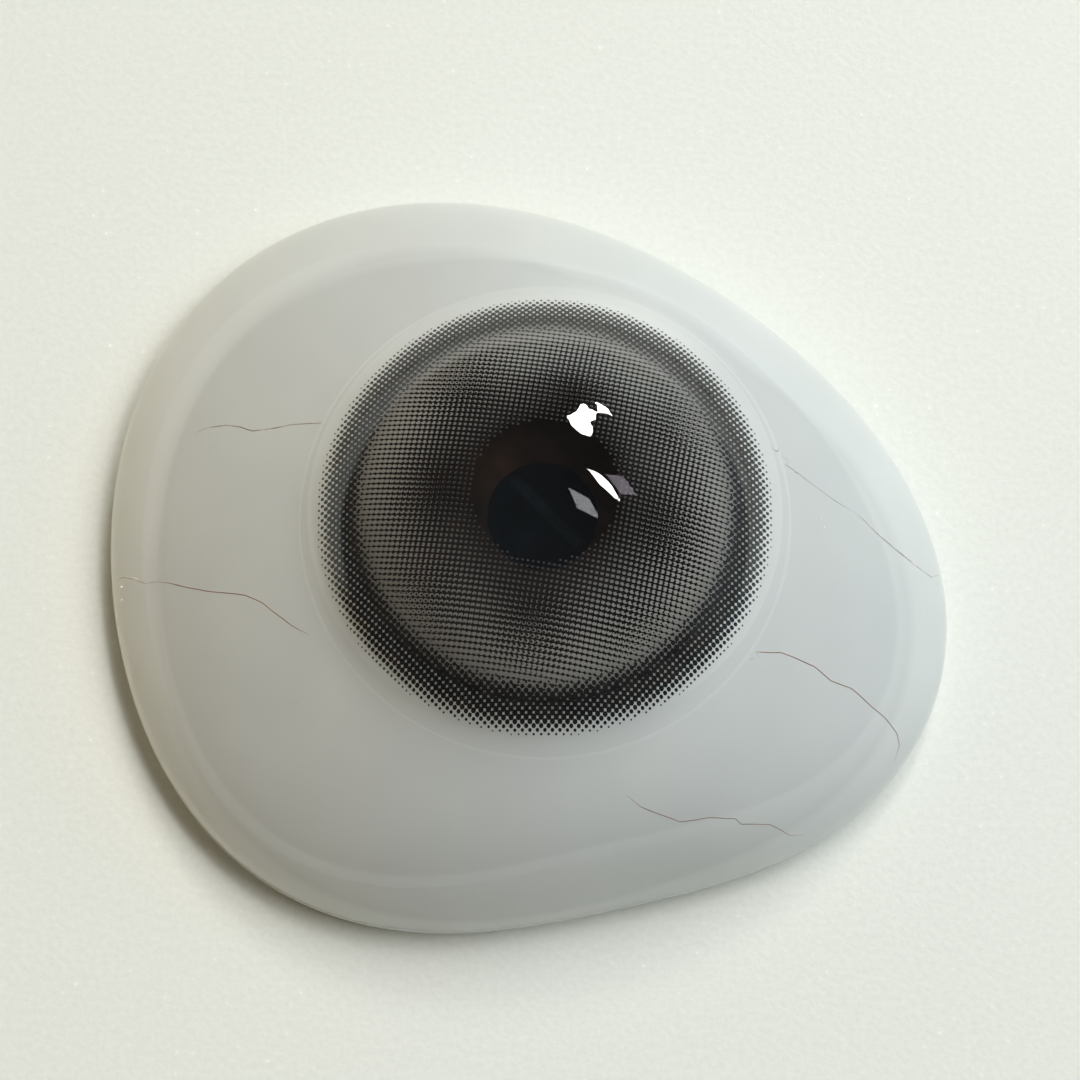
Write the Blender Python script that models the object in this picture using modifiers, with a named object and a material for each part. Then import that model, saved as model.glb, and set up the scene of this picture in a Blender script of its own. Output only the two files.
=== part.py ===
"""
An artificial eye shell with a coloured contact lens laid on it.

The shell is a white acrylic body, hollow behind, under a clear acrylic front.
A brown iris disc and a black pupil lie under the clear dome, and fine red threads
lie on the white body as veins. A soft lens covers the dome. Its print is two
fields: a dark outer ring and a lighter inner field around a clear middle.

Metres, +Z up. The shell rests on its rim at Z = 0, with the origin at the middle
of its outline. +X points towards the pointed end of the outline.
"""

import math

import bmesh
import bpy

MM = 0.001

# Driving dimensions: the outline, seen from the iris axis.
# Each wave is an amount and the direction of its first crest in degrees.
OUTLINE_RADIUS = 11.74 * MM
OUTLINE_SHIFT = (1.12 * MM, -168.0)
OUTLINE_OVAL = (0.97 * MM, -19.0)
OUTLINE_TRIANGLE = (0.55 * MM, -8.5)
OUTLINE_SQUARE = (0.18 * MM, -35.0)

# Driving dimensions: the clear front
APEX_HEIGHT = 8.80 * MM
CORNEA_RADIUS = 8.90 * MM
LIMBUS_FILLET = 0.80 * MM
FLANGE_SLOPE = 0.50
FLANGE_MARGIN = 0.20 * MM
BAND_WIDTH = 1.15 * MM
BAND_SHIFT = 0.75 * MM
BAND_STEP = 0.06 * MM
COAT_THICKNESS = 0.45 * MM
COAT_EDGE_THICKNESS = 0.22 * MM

# Driving dimensions: the white body
PARTING_HEIGHT = 0.90 * MM
RIM_WIDTH = 1.30 * MM
RIM_INNER_HEIGHT = 0.60 * MM
FLOOR_THICKNESS = 0.75 * MM
HOLLOW_RADIUS = 6.40 * MM
HOLLOW_SLOPE = 0.26

# Driving dimensions: the iris and the pupil
IRIS_DIAMETER = 11.30 * MM
IRIS_DEPTH = 3.10 * MM
IRIS_THICKNESS = 0.45 * MM
PUPIL_DIAMETER = 2.77 * MM
PUPIL_SHIFT = (-0.06 * MM, -0.12 * MM)

# Driving dimensions: the soft lens and its print
LENS_DIAMETER = 14.20 * MM
LENS_OVERLAP = 1.10 * MM
LENS_THICKNESS = 0.12 * MM
LENS_EDGE_THICKNESS = 0.05 * MM
LENS_EDGE_WIDTH = 0.90 * MM
CLEAR_EDGE_WIDTH = 0.60 * MM
RING_PRINT_WIDTH = 1.65 * MM
CLEAR_MIDDLE_DIAMETER = 4.10 * MM
PRINT_THICKNESS = 0.03 * MM

# Driving dimensions: the vein threads
THREAD_DIAMETER = 0.045 * MM
THREAD_POINT_SPACING = 0.50 * MM

# Clearances
FIT_GAP = 0.05 * MM
BOND_GAP = 0.14 * MM

# Mesh fineness
SEGMENTS = 64
CORNEA_RINGS = 6
FILLET_RINGS = 2
SIDE_RINGS = 5
BAND_RINGS = 5
RIM_STEPS = 3
HOLLOW_RINGS = 3
CREASE_SHARE = 0.03
MERGE_DISTANCE = 0.000001

# Worked out from the driving dimensions
LENS_RADIUS = LENS_DIAMETER / 2
LIMBUS_RADIUS = LENS_RADIUS - LENS_OVERLAP
FILLET_RADIUS = LIMBUS_RADIUS + LIMBUS_FILLET
ROUND_RADIUS = max(FILLET_RADIUS, LENS_RADIUS) + FLANGE_MARGIN
FRONT_EDGE_HEIGHT = PARTING_HEIGHT + FIT_GAP
IRIS_TOP = APEX_HEIGHT - IRIS_DEPTH
IRIS_BOTTOM = IRIS_TOP - IRIS_THICKNESS
POCKET_RADIUS = IRIS_DIAMETER / 2 + FIT_GAP
POCKET_FLOOR = IRIS_BOTTOM - FIT_GAP
HOLLOW_TOP = POCKET_FLOOR - FLOOR_THICKNESS
HOLLOW_EDGE_HEIGHT = HOLLOW_TOP - HOLLOW_SLOPE * HOLLOW_RADIUS / 2
LENS_LIFT = FIT_GAP + PRINT_THICKNESS + FIT_GAP
RING_PRINT_OUTER = LENS_RADIUS - CLEAR_EDGE_WIDTH
RING_PRINT_INNER = RING_PRINT_OUTER - RING_PRINT_WIDTH
IRIS_PRINT_OUTER = RING_PRINT_INNER - FIT_GAP
IRIS_PRINT_INNER = CLEAR_MIDDLE_DIAMETER / 2

# Routes of the vein threads. Each point is a direction from the iris axis in degrees and a share
# of the way to the outer edge there.
VEIN_ROUTES = {
    "vein_left": (
        (-177.5, 0.98), (-175.0, 0.915), (-171.0, 0.80), (-167.0, 0.70), (-161.5, 0.653), (-155.0, 0.605),
    ),
    "vein_upper_left": (
        (162.0, 0.83), (159.5, 0.737), (159.5, 0.677), (156.0, 0.57), (154.0, 0.508),
    ),
    "vein_upper_right": (
        (22.5, 0.612), (11.5, 0.688), (4.0, 0.795), (-2.5, 0.90), (-3.0, 0.983),
    ),
    "vein_right": (
        (-34.5, 0.58), (-29.0, 0.646), (-27.5, 0.726), (-28.0, 0.775), (-27.0, 0.823),
        (-27.5, 0.922), (-28.0, 0.963), (-29.0, 0.98), (-31.0, 0.987),
    ),
    "vein_lower_right": (
        (-73.5, 0.79), (-71.5, 0.825), (-65.5, 0.88), (-60.5, 0.888), (-56.5, 0.906),
        (-56.0, 0.922), (-52.0, 0.942), (-50.0, 0.977), (-48.0, 0.987),
    ),
}


def clear_scene():
    """Remove whatever the scene holds."""
    for found in list(bpy.data.objects):
        bpy.data.objects.remove(found, do_unlink=True)


def make_collection(name):
    """Add a collection to the scene."""
    collection = bpy.data.collections.new(name)
    bpy.context.scene.collection.children.link(collection)
    return collection


def make_material(name, colour, roughness, transmission=0.0, refraction=1.49):
    """A Principled material with one plain colour."""
    material = bpy.data.materials.new(name)
    material.use_nodes = True
    shader = material.node_tree.nodes["Principled BSDF"]
    shader.inputs["Base Color"].default_value = (*colour, 1.0)
    shader.inputs["Roughness"].default_value = roughness
    shader.inputs["Transmission Weight"].default_value = transmission
    shader.inputs["IOR"].default_value = refraction
    material.diffuse_color = (*colour, 1.0)
    return material


def ring_angles():
    """The directions that every ring of points uses."""
    return [2 * math.pi * step / SEGMENTS for step in range(SEGMENTS)]


def outline_radius(angle):
    """Distance from the iris axis to the outer edge of the shell."""
    waves = (OUTLINE_SHIFT, OUTLINE_OVAL, OUTLINE_TRIANGLE, OUTLINE_SQUARE)
    radius = OUTLINE_RADIUS
    for count, (amount, direction) in enumerate(waves, start=1):
        radius += amount * math.cos(count * (angle - math.radians(direction)))
    return radius


def iris_axis_place():
    """Where the iris axis stands when the outline's own box is centred on the origin."""
    across = [outline_radius(angle) * math.cos(angle) for angle in ring_angles()]
    along = [outline_radius(angle) * math.sin(angle) for angle in ring_angles()]
    return -(min(across) + max(across)) / 2, -(min(along) + max(along)) / 2


def bend(start, middle, end, share):
    """A point of the quadratic curve from start to end that aims at middle."""
    first, second, third = (1 - share) ** 2, 2 * share * (1 - share), share ** 2
    return tuple(first * a + second * b + third * c for a, b, c in zip(start, middle, end))


def round_front(radius):
    """Height and fall of the turned middle of the front: dome, limbal fillet and flange."""
    dome_radius = min(radius, LIMBUS_RADIUS)
    drop = math.sqrt(CORNEA_RADIUS ** 2 - dome_radius ** 2)
    height = APEX_HEIGHT - CORNEA_RADIUS + drop
    fall = dome_radius / drop
    in_fillet = min(max(radius - LIMBUS_RADIUS, 0.0), LIMBUS_FILLET)
    change = (FLANGE_SLOPE - fall) / LIMBUS_FILLET
    height -= fall * in_fillet + change * in_fillet ** 2 / 2
    fall += change * in_fillet
    height -= fall * max(radius - FILLET_RADIUS, 0.0)
    return height, fall


def below_round_front(radius, depth):
    """Height of a layer that lies a given depth under the turned middle of the front."""
    height, fall = round_front(radius)
    return height - depth * math.sqrt(1 + fall ** 2)


def crease_share(angle):
    """Where the crease of the edge band crosses a side curve."""
    length = outline_radius(angle) - ROUND_RADIUS
    width = BAND_WIDTH + BAND_SHIFT * math.sin(angle)
    return 1 - math.sqrt(min(width / length, 1.0))


def coat_depth(share):
    """Thickness of the clear coat, which thins towards the edge."""
    return COAT_THICKNESS + (COAT_EDGE_THICKNESS - COAT_THICKNESS) * share


def side_front(angle, share, depth=0.0):
    """A point under the side of the front, from the flange (share 0) to the edge (share 1)."""
    length = outline_radius(angle) - ROUND_RADIUS
    start_height = round_front(ROUND_RADIUS)[0]
    aim_height = start_height - FLANGE_SLOPE * length
    radius, height = bend(
        (ROUND_RADIUS, start_height),
        (ROUND_RADIUS + length, aim_height),
        (ROUND_RADIUS + length, FRONT_EDGE_HEIGHT),
        share,
    )
    outward = 2 * (1 - share) * length
    downward = 2 * (1 - share) * (start_height - aim_height) + 2 * share * (aim_height - FRONT_EDGE_HEIGHT)
    size = math.hypot(outward, downward)
    crease = crease_share(angle)
    past = (share - crease) / (2 * CREASE_SHARE) + 0.5
    past = min(max(past, 0.0), 1.0)
    inside = 1 - past * past * (3 - 2 * past)
    raised = BAND_STEP * inside * min(share / crease, 1.0) - depth
    return radius + raised * downward / size, height + raised * outward / size


def side_shares(angle):
    """The places along a side curve where rings of points lie."""
    crease = crease_share(angle)
    inner, outer = crease - CREASE_SHARE, crease + CREASE_SHARE
    shares = [inner * step / SIDE_RINGS for step in range(1, SIDE_RINGS + 1)]
    shares += [outer + (1 - outer) * step / BAND_RINGS for step in range(BAND_RINGS + 1)]
    return shares


def hollow_point(angle, share):
    """A point of the hollow back, from its turned middle (share 0) to the rim (share 1)."""
    edge = outline_radius(angle) - RIM_WIDTH
    aim_height = HOLLOW_EDGE_HEIGHT - HOLLOW_SLOPE * (edge - HOLLOW_RADIUS)
    return bend((HOLLOW_RADIUS, HOLLOW_EDGE_HEIGHT), (edge, aim_height), (edge, RIM_INNER_HEIGHT), share)


def rim_points(angle):
    """The rounded foot of the shell, from its outer edge round to its inner edge."""
    outer = outline_radius(angle)
    middle = outer - RIM_WIDTH / 2
    inner = outer - RIM_WIDTH
    points = []
    for step in range(RIM_STEPS + 1):
        points.append(bend((outer, PARTING_HEIGHT), (outer, 0.0), (middle, 0.0), step / RIM_STEPS))
    for step in range(1, RIM_STEPS + 1):
        points.append(bend((middle, 0.0), (inner, 0.0), (inner, RIM_INNER_HEIGHT), step / RIM_STEPS))
    return points


def loft(name, top, profile, bottom, material, collection, parent):
    """
    One closed skin between unlike sections.

    profile gives, for a direction, the radius and height of every ring from top to bottom.
    top and bottom are the heights of the two poles on the iris axis.
    """
    mesh = bmesh.new()
    profiles = [(angle, profile(angle)) for angle in ring_angles()]
    rings = []
    for index in range(len(profiles[0][1])):
        ring = []
        for angle, points in profiles:
            radius, height = points[index]
            ring.append(mesh.verts.new((radius * math.cos(angle), radius * math.sin(angle), height)))
        rings.append(ring)
    first_pole = mesh.verts.new((0.0, 0.0, top))
    last_pole = mesh.verts.new((0.0, 0.0, bottom))
    for near, far in zip(rings, rings[1:]):
        for step in range(SEGMENTS):
            after = (step + 1) % SEGMENTS
            mesh.faces.new((near[step], far[step], far[after], near[after]))
    for step in range(SEGMENTS):
        after = (step + 1) % SEGMENTS
        mesh.faces.new((first_pole, rings[0][step], rings[0][after]))
        mesh.faces.new((last_pole, rings[-1][after], rings[-1][step]))
    return place_mesh(name, mesh, material, collection, parent)


def place_mesh(name, mesh, material, collection, parent):
    """Turn a bmesh into a smooth-shaded object on the iris axis."""
    data = bpy.data.meshes.new(name)
    mesh.to_mesh(data)
    mesh.free()
    data.shade_smooth()
    data.set_sharp_from_angle(angle=math.radians(40))
    data.materials.append(material)
    made = bpy.data.objects.new(name, data)
    made.parent = parent
    collection.objects.link(made)
    return made


def turned(name, profile, closed, material, collection, parent):
    """A turned piece: a profile of radius and height, top to bottom outside, round the iris axis."""
    mesh = bmesh.new()
    points = [mesh.verts.new((radius, 0.0, height)) for radius, height in profile]
    for near, far in zip(points, points[1:]):
        mesh.edges.new((near, far))
    if closed:
        mesh.edges.new((points[-1], points[0]))
    made = place_mesh(name, mesh, material, collection, parent)
    screw = made.modifiers.new("Turn", "SCREW")
    screw.axis = "Z"
    screw.steps = SEGMENTS
    screw.render_steps = SEGMENTS
    screw.use_merge_vertices = True
    screw.merge_threshold = MERGE_DISTANCE
    screw.use_smooth_shade = True
    return made


def make_clear_front(material, collection, parent):
    """The clear acrylic front: dome, limbal fillet and the coat over the white body."""
    plug_radius = POCKET_RADIUS - FIT_GAP
    plug_bottom = IRIS_TOP + FIT_GAP
    outer_radii = [LIMBUS_RADIUS * step / CORNEA_RINGS for step in range(1, CORNEA_RINGS + 1)]
    outer_radii += [LIMBUS_RADIUS + LIMBUS_FILLET * step / FILLET_RINGS for step in range(1, FILLET_RINGS + 1)]
    outer_radii.append(ROUND_RADIUS)
    inner_steps = range(FILLET_RINGS + 1, -1, -1)
    inner_radii = [plug_radius + (ROUND_RADIUS - plug_radius) * step / (FILLET_RINGS + 1) for step in inner_steps]

    def profile(angle):
        shares = side_shares(angle)
        points = [(radius, round_front(radius)[0]) for radius in outer_radii]
        points += [side_front(angle, share) for share in shares]
        points += [side_front(angle, share, coat_depth(share)) for share in reversed(shares)]
        points += [(radius, below_round_front(radius, COAT_THICKNESS)) for radius in inner_radii]
        points.append((plug_radius, plug_bottom))
        return points

    return loft("clear_front", APEX_HEIGHT, profile, plug_bottom, material, collection, parent)


def make_white_body(material, collection, parent):
    """The white acrylic body: iris pocket in front, rounded rim, hollow behind."""
    depth = COAT_THICKNESS + BOND_GAP
    steps = range(FILLET_RINGS + 2)
    round_radii = [POCKET_RADIUS + (ROUND_RADIUS - POCKET_RADIUS) * step / (FILLET_RINGS + 1) for step in steps]

    def profile(angle):
        points = [(POCKET_RADIUS, POCKET_FLOOR)]
        points += [(radius, below_round_front(radius, depth)) for radius in round_radii]
        for share in side_shares(angle)[:-1]:
            points.append(side_front(angle, share, coat_depth(share) + BOND_GAP))
        ledge = outline_radius(angle) - COAT_EDGE_THICKNESS - BOND_GAP
        points.append((ledge, PARTING_HEIGHT))
        points += rim_points(angle)
        points += [hollow_point(angle, 1 - step / SIDE_RINGS) for step in range(1, SIDE_RINGS + 1)]
        for step in range(HOLLOW_RINGS - 1, 0, -1):
            radius = HOLLOW_RADIUS * step / HOLLOW_RINGS
            points.append((radius, HOLLOW_TOP - HOLLOW_SLOPE * radius ** 2 / (2 * HOLLOW_RADIUS)))
        return points

    return loft("white_body", POCKET_FLOOR, profile, HOLLOW_TOP, material, collection, parent)


def make_disc(name, radius, bottom, top, shift, material, collection, parent):
    """A flat round disc, shifted sideways from the iris axis."""
    mesh = bmesh.new()
    bmesh.ops.create_cone(
        mesh, cap_ends=True, segments=SEGMENTS, radius1=radius, radius2=radius, depth=top - bottom
    )
    bmesh.ops.translate(mesh, verts=mesh.verts, vec=(*shift, (top + bottom) / 2))
    return place_mesh(name, mesh, material, collection, parent)


def make_iris_disc(material, cutter_material, collection, cutters, parent):
    """The brown disc behind the dome, with a hole that the pupil sits in."""
    on_axis = (0.0, 0.0)
    disc = make_disc("iris_disc", IRIS_DIAMETER / 2, IRIS_BOTTOM, IRIS_TOP, on_axis, material, collection, parent)
    cutter = make_disc(
        "pupil_hole", PUPIL_DIAMETER / 2 + FIT_GAP, IRIS_BOTTOM - IRIS_THICKNESS, IRIS_TOP + IRIS_THICKNESS,
        PUPIL_SHIFT, cutter_material, cutters, parent,
    )
    cutter.hide_render = True
    cutter.display_type = "WIRE"
    cut = disc.modifiers.new("Pupil hole", "BOOLEAN")
    cut.operation = "DIFFERENCE"
    cut.solver = "EXACT"
    cut.object = cutter
    return disc


def lens_thickness(radius):
    """Thickness of the soft lens, thinner towards its edge."""
    inward = min((LENS_RADIUS - radius) / LENS_EDGE_WIDTH, 1.0)
    return LENS_EDGE_THICKNESS + (LENS_THICKNESS - LENS_EDGE_THICKNESS) * inward


def make_lens(material, collection, parent):
    """The soft lens, which follows the dome and ends on the flange."""
    radii = [LIMBUS_RADIUS * step / CORNEA_RINGS for step in range(CORNEA_RINGS + 1)]
    radii += [LIMBUS_RADIUS + LENS_OVERLAP * step / FILLET_RINGS for step in range(1, FILLET_RINGS + 1)]
    front = [(radius, below_round_front(radius, -LENS_LIFT - lens_thickness(radius))) for radius in radii]
    back = [(radius, below_round_front(radius, -LENS_LIFT)) for radius in reversed(radii)]
    return turned("contact_lens", front + back, False, material, collection, parent)


def make_print(name, inner, outer, steps, material, collection, parent):
    """A printed field of the lens: a thin ring that follows the dome."""
    radii = [inner + (outer - inner) * step / steps for step in range(steps + 1)]
    front = [(radius, below_round_front(radius, -FIT_GAP - PRINT_THICKNESS)) for radius in radii]
    back = [(radius, below_round_front(radius, -FIT_GAP)) for radius in reversed(radii)]
    return turned(name, front + back, True, material, collection, parent)


def thread_points(route):
    """Directions and distances along a vein, close enough together to follow the curved surface."""
    knots = []
    for degrees, share in route:
        angle = math.radians(degrees)
        knots.append((angle, share * outline_radius(angle)))
    points = []
    for (angle_a, radius_a), (angle_b, radius_b) in zip(knots, knots[1:]):
        length = math.hypot((angle_b - angle_a) * (radius_a + radius_b) / 2, radius_b - radius_a)
        count = max(1, math.ceil(length / THREAD_POINT_SPACING))
        for step in range(count):
            share = step / count
            points.append((angle_a + (angle_b - angle_a) * share, radius_a + (radius_b - radius_a) * share))
    points.append(knots[-1])
    return points


def on_bond_line(angle, radius):
    """Place of a point midway between the white body and the clear coat."""
    outer = outline_radius(angle)
    if radius < ROUND_RADIUS:
        place = radius, below_round_front(radius, COAT_THICKNESS + BOND_GAP / 2)
    else:
        share = 1 - math.sqrt(max(outer - radius, 0.0) / (outer - ROUND_RADIUS))
        place = side_front(angle, share, coat_depth(share) + BOND_GAP / 2)
    return place[0] * math.cos(angle), place[0] * math.sin(angle), place[1]


def make_vein(name, route, material, collection, parent):
    """A fine thread between the white body and the clear coat."""
    curve = bpy.data.curves.new(name, "CURVE")
    curve.dimensions = "3D"
    curve.bevel_depth = THREAD_DIAMETER / 2
    curve.bevel_resolution = 1
    curve.use_fill_caps = True
    points = [on_bond_line(angle, radius) for angle, radius in thread_points(route)]
    spline = curve.splines.new("POLY")
    spline.points.add(len(points) - 1)
    for point, place in zip(spline.points, points):
        point.co = (*place, 1.0)
    curve.materials.append(material)
    made = bpy.data.objects.new(name, curve)
    made.parent = parent
    collection.objects.link(made)
    return made


def main():
    clear_scene()
    parts = make_collection("artificial_eye_with_contact_lens")
    cutters = make_collection("cutters")

    axis = bpy.data.objects.new("iris_axis", None)
    axis.location = (*iris_axis_place(), 0.0)
    parts.objects.link(axis)

    white = make_material("white acrylic", (0.62, 0.64, 0.63), 0.30)
    clear = make_material("clear acrylic", (0.98, 0.99, 0.99), 0.02, transmission=1.0)
    brown = make_material("brown iris paint", (0.020, 0.012, 0.009), 0.45)
    black = make_material("black pupil paint", (0.004, 0.004, 0.005), 0.30)
    hydrogel = make_material("clear hydrogel", (0.98, 0.99, 1.00), 0.02, transmission=1.0, refraction=1.42)
    dark_ink = make_material("dark ring ink", (0.012, 0.012, 0.014), 0.50)
    grey_ink = make_material("grey iris ink", (0.110, 0.105, 0.095), 0.50)
    red = make_material("red silk thread", (0.150, 0.035, 0.030), 0.60)
    cutter_material = make_material("cutter", (1.0, 0.0, 1.0), 0.5)

    make_white_body(white, parts, axis)
    make_iris_disc(brown, cutter_material, parts, cutters, axis)
    make_disc("pupil_disc", PUPIL_DIAMETER / 2, IRIS_BOTTOM, IRIS_TOP, PUPIL_SHIFT, black, parts, axis)
    for name, route in VEIN_ROUTES.items():
        make_vein(name, route, red, parts, axis)
    make_clear_front(clear, parts, axis)
    make_print("ring_print", RING_PRINT_INNER, RING_PRINT_OUTER, 2, dark_ink, parts, axis)
    make_print("iris_print", IRIS_PRINT_INNER, IRIS_PRINT_OUTER, 3, grey_ink, parts, axis)
    make_lens(hydrogel, parts, axis)


main()
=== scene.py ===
"""The looks of an artificial eye shell with a coloured contact lens laid on its dome."""

import math
import random

import bmesh
import bpy
from mathutils import Matrix, Vector


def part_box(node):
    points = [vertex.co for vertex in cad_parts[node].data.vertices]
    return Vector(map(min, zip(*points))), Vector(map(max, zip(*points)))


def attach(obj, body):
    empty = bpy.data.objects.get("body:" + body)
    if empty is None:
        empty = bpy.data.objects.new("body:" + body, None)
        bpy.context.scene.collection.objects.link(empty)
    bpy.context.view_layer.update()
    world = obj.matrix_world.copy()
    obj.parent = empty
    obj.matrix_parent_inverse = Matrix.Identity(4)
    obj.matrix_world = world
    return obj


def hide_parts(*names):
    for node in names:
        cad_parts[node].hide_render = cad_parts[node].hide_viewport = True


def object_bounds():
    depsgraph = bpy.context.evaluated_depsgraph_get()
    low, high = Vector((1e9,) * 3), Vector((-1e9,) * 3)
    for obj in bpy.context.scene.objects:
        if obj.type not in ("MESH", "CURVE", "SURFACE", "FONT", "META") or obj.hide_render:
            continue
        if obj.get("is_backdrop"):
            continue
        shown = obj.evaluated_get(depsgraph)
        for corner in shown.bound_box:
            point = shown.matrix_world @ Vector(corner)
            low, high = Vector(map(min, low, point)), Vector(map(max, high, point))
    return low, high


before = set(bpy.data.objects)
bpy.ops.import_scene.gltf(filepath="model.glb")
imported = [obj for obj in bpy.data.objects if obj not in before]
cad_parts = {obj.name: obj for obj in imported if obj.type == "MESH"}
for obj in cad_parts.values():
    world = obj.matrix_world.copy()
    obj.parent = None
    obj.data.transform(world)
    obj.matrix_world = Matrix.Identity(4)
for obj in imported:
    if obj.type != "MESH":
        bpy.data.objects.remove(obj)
cad_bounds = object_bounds()

MM = 0.001

# Places that the frame gives
DOME_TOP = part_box("clear_front")[1].z
IRIS_LOW, IRIS_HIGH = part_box("iris_disc")
PUPIL_LOW, PUPIL_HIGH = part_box("pupil_disc")
LENS_LOW, LENS_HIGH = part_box("contact_lens")
AXIS = Vector(((IRIS_LOW.x + IRIS_HIGH.x) / 2, (IRIS_LOW.y + IRIS_HIGH.y) / 2, 0.0))
LENS_RADIUS = (LENS_HIGH.x - LENS_LOW.x) / 2
PUPIL_RADIUS = (PUPIL_HIGH.x - PUPIL_LOW.x) / 2
PUPIL_PLACE = (PUPIL_HIGH + PUPIL_LOW) / 2 - AXIS
IRIS_TOP = IRIS_HIGH.z

# The shell's outline, seen from the iris axis: each wave is an amount and its direction in degrees
OUTLINE_RADIUS = 11.74 * MM
OUTLINE_WAVES = ((1.12 * MM, -168.0), (0.97 * MM, -19.0), (0.55 * MM, -8.5), (0.18 * MM, -35.0))

# The front: dome, limbal fillet, flange and edge band
CORNEA_RADIUS = 8.90 * MM
LIMBUS_RADIUS = 6.00 * MM
LIMBUS_FILLET = 0.80 * MM
FLANGE_SLOPE = 0.50
ROUND_RADIUS = 7.30 * MM
BAND_WIDTH = 1.36 * MM
BAND_SHIFT = 1.30 * MM
BAND_WIDEST = 90.0
BAND_STEP = 0.004 * MM
COAT_DEPTH = 0.59 * MM
COAT_EDGE_DEPTH = 0.15 * MM

# Half the crease's width as a share of the side curve, and how many of these its change of tone, with the
# painted shade line at the crease, reaches
BAND_CREASE = 0.045
CREASE_SPREAD = 1.6

# The white body
PARTING_HEIGHT = 0.90 * MM
FRONT_EDGE_HEIGHT = 0.95 * MM
RIM_WIDTH = 1.30 * MM
RIM_INNER_HEIGHT = 0.60 * MM
POCKET_FLOOR = 5.20 * MM
POCKET_RADIUS = 5.70 * MM
POCKET_EDGE_RING = 0.10 * MM
PAINTED_RADIUS = 5.22 * MM
HOLLOW_TOP = 4.45 * MM
HOLLOW_RADIUS = 6.40 * MM
HOLLOW_SLOPE = 0.26

# How far one clear or painted layer sinks into the next, so that no air lies between them
SINK = 0.01 * MM

# How strongly the acrylic bends light, in the open and under the wet lens
ACRYLIC_BENDING = 1.49
COVERED_BENDING = 1.01

# The soft lens and its dot print
LENS_LIFT = 0.13 * MM
LENS_THICKNESS = 0.12 * MM
LENS_EDGE_LIFT = 0.09 * MM
LENS_BEVEL = 0.80 * MM
LENS_ROUND = 0.09 * MM
PRINT_BOTTOM = 0.05 * MM
PRINT_TOP = 0.08 * MM
DOT_PITCH = 0.149 * MM
DOT_BLANK = DOT_PITCH / 4
RING_TURN = 45.0
GREY_TURN = -9.0
GREY_STRETCH = (1.13, 0.90)
BLACK_TURN = -11.6
GRID_COUNT = 90

# Threads: each is a piece, the node that it stands for if any, a width in mm, a finish and a route. A
# route's points are a direction from the iris axis in degrees and a share of the way to the outer edge.
THREADS = (
    ("vein_left_thread", "vein_left", 0.028, "red", (
        (-174.8, 0.900), (-173.9, 0.865), (-172.1, 0.822), (-170.8, 0.788), (-168.9, 0.732),
        (-167.6, 0.701), (-164.9, 0.668), (-158.2, 0.625), (-154.5, 0.598),
    )),
    ("vein_left_tail", None, 0.075, "pale", (
        (-177.1, 0.990), (-177.2, 0.975), (-176.3, 0.948), (-175.0, 0.923), (-174.8, 0.900),
    )),
    ("vein_upper_left_thread", "vein_upper_left", 0.040, "faint", (
        (161.9, 0.829), (160.7, 0.801), (159.8, 0.763), (159.7, 0.726), (159.9, 0.696),
        (158.7, 0.652), (157.0, 0.615), (156.0, 0.582), (154.5, 0.534), (155.2, 0.512),
    )),
    ("vein_upper_right_thread", "vein_upper_right", 0.026, "faint", (
        (22.4, 0.614), (18.3, 0.632), (11.8, 0.690), (6.1, 0.752), (4.1, 0.795),
    )),
    ("vein_upper_right_tail", None, 0.060, "pale", (
        (4.1, 0.795), (1.2, 0.835), (-1.2, 0.878), (-3.1, 0.928), (-3.9, 0.966), (-2.9, 0.987),
    )),
    ("vein_right_thread", "vein_right", 0.029, "red", (
        (-34.5, 0.580), (-29.0, 0.646), (-27.5, 0.726), (-28.0, 0.775), (-27.0, 0.823),
        (-27.5, 0.922), (-28.0, 0.963), (-29.0, 0.980), (-31.0, 0.987),
    )),
    ("vein_lower_right_thread", "vein_lower_right", 0.025, "red", (
        (-73.5, 0.790), (-71.5, 0.825), (-65.5, 0.880), (-60.5, 0.888), (-56.5, 0.906),
        (-56.0, 0.922), (-52.0, 0.942), (-50.0, 0.977), (-48.0, 0.987),
    )),
    ("fibre_left", None, 0.026, "faint", ((-144.6, 0.712), (-144.2, 0.690))),
    ("fibre_upper_right", None, 0.050, "red", ((12.4, 0.680), (12.0, 0.686))),
    ("fibre_right", None, 0.045, "faint", ((-9.7, 0.947), (-9.3, 0.951))),
)
THREAD_COLOURS = {
    "red": (0.25, 0.13, 0.09), "faint": (0.51, 0.46, 0.43), "pale": (0.59, 0.55, 0.525),
}
# Specks that stand partly for dust and partly, as painted glints, for small bright reflections: a direction,
# a share of the way to the outer edge and a radius in mm
DUST_AND_GLINTS = (
    (1.2, 0.683, 0.030), (-0.5, 0.685, 0.025), (-175.6, 0.972, 0.045), (-173.9, 0.975, 0.030),
    (124.3, 0.780, 0.022),
)

# The space between a thread's points, its small waves, its thin ends, how far out it may lie, and the
# share of its radius that it sinks into the white body
THREAD_STEP = 0.10 * MM
THREAD_WAVE = 0.012 * MM
THREAD_WAVE_COUNT = 4
THREAD_WAVE_RATES = (1.5, 7.0)
THREAD_END_POINTS = 8
THREAD_END_SHARE = 0.35
THREAD_FURTHEST = 0.99
THREAD_SUNK = 0.1

# Fineness of the meshes: points around, then rings along a profile
AROUND = 256
PLATE_AROUND = 128
LENS_AROUND = 192
DOT_SIDES = 10
DOME_RINGS = 44
FLANGE_RINGS = 12
WHITE_SIDE_RINGS = 24
COAT_SIDE_RINGS = 28
COAT_UNDERSIDE_RINGS = 20
CREASE_RINGS = 8
RIM_RINGS = 12
HOLLOW_SIDE_RINGS = 20
HOLLOW_TOP_RINGS = 12
LENS_RINGS = 36
LENS_BEVEL_RINGS = 12
LENS_EDGE_RINGS = 5

# Points closer than this are merged, and edges that turn by more than this many degrees stay sharp
MERGE_DISTANCE = 0.0001 * MM
SHARP_ANGLE = 35.0

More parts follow.
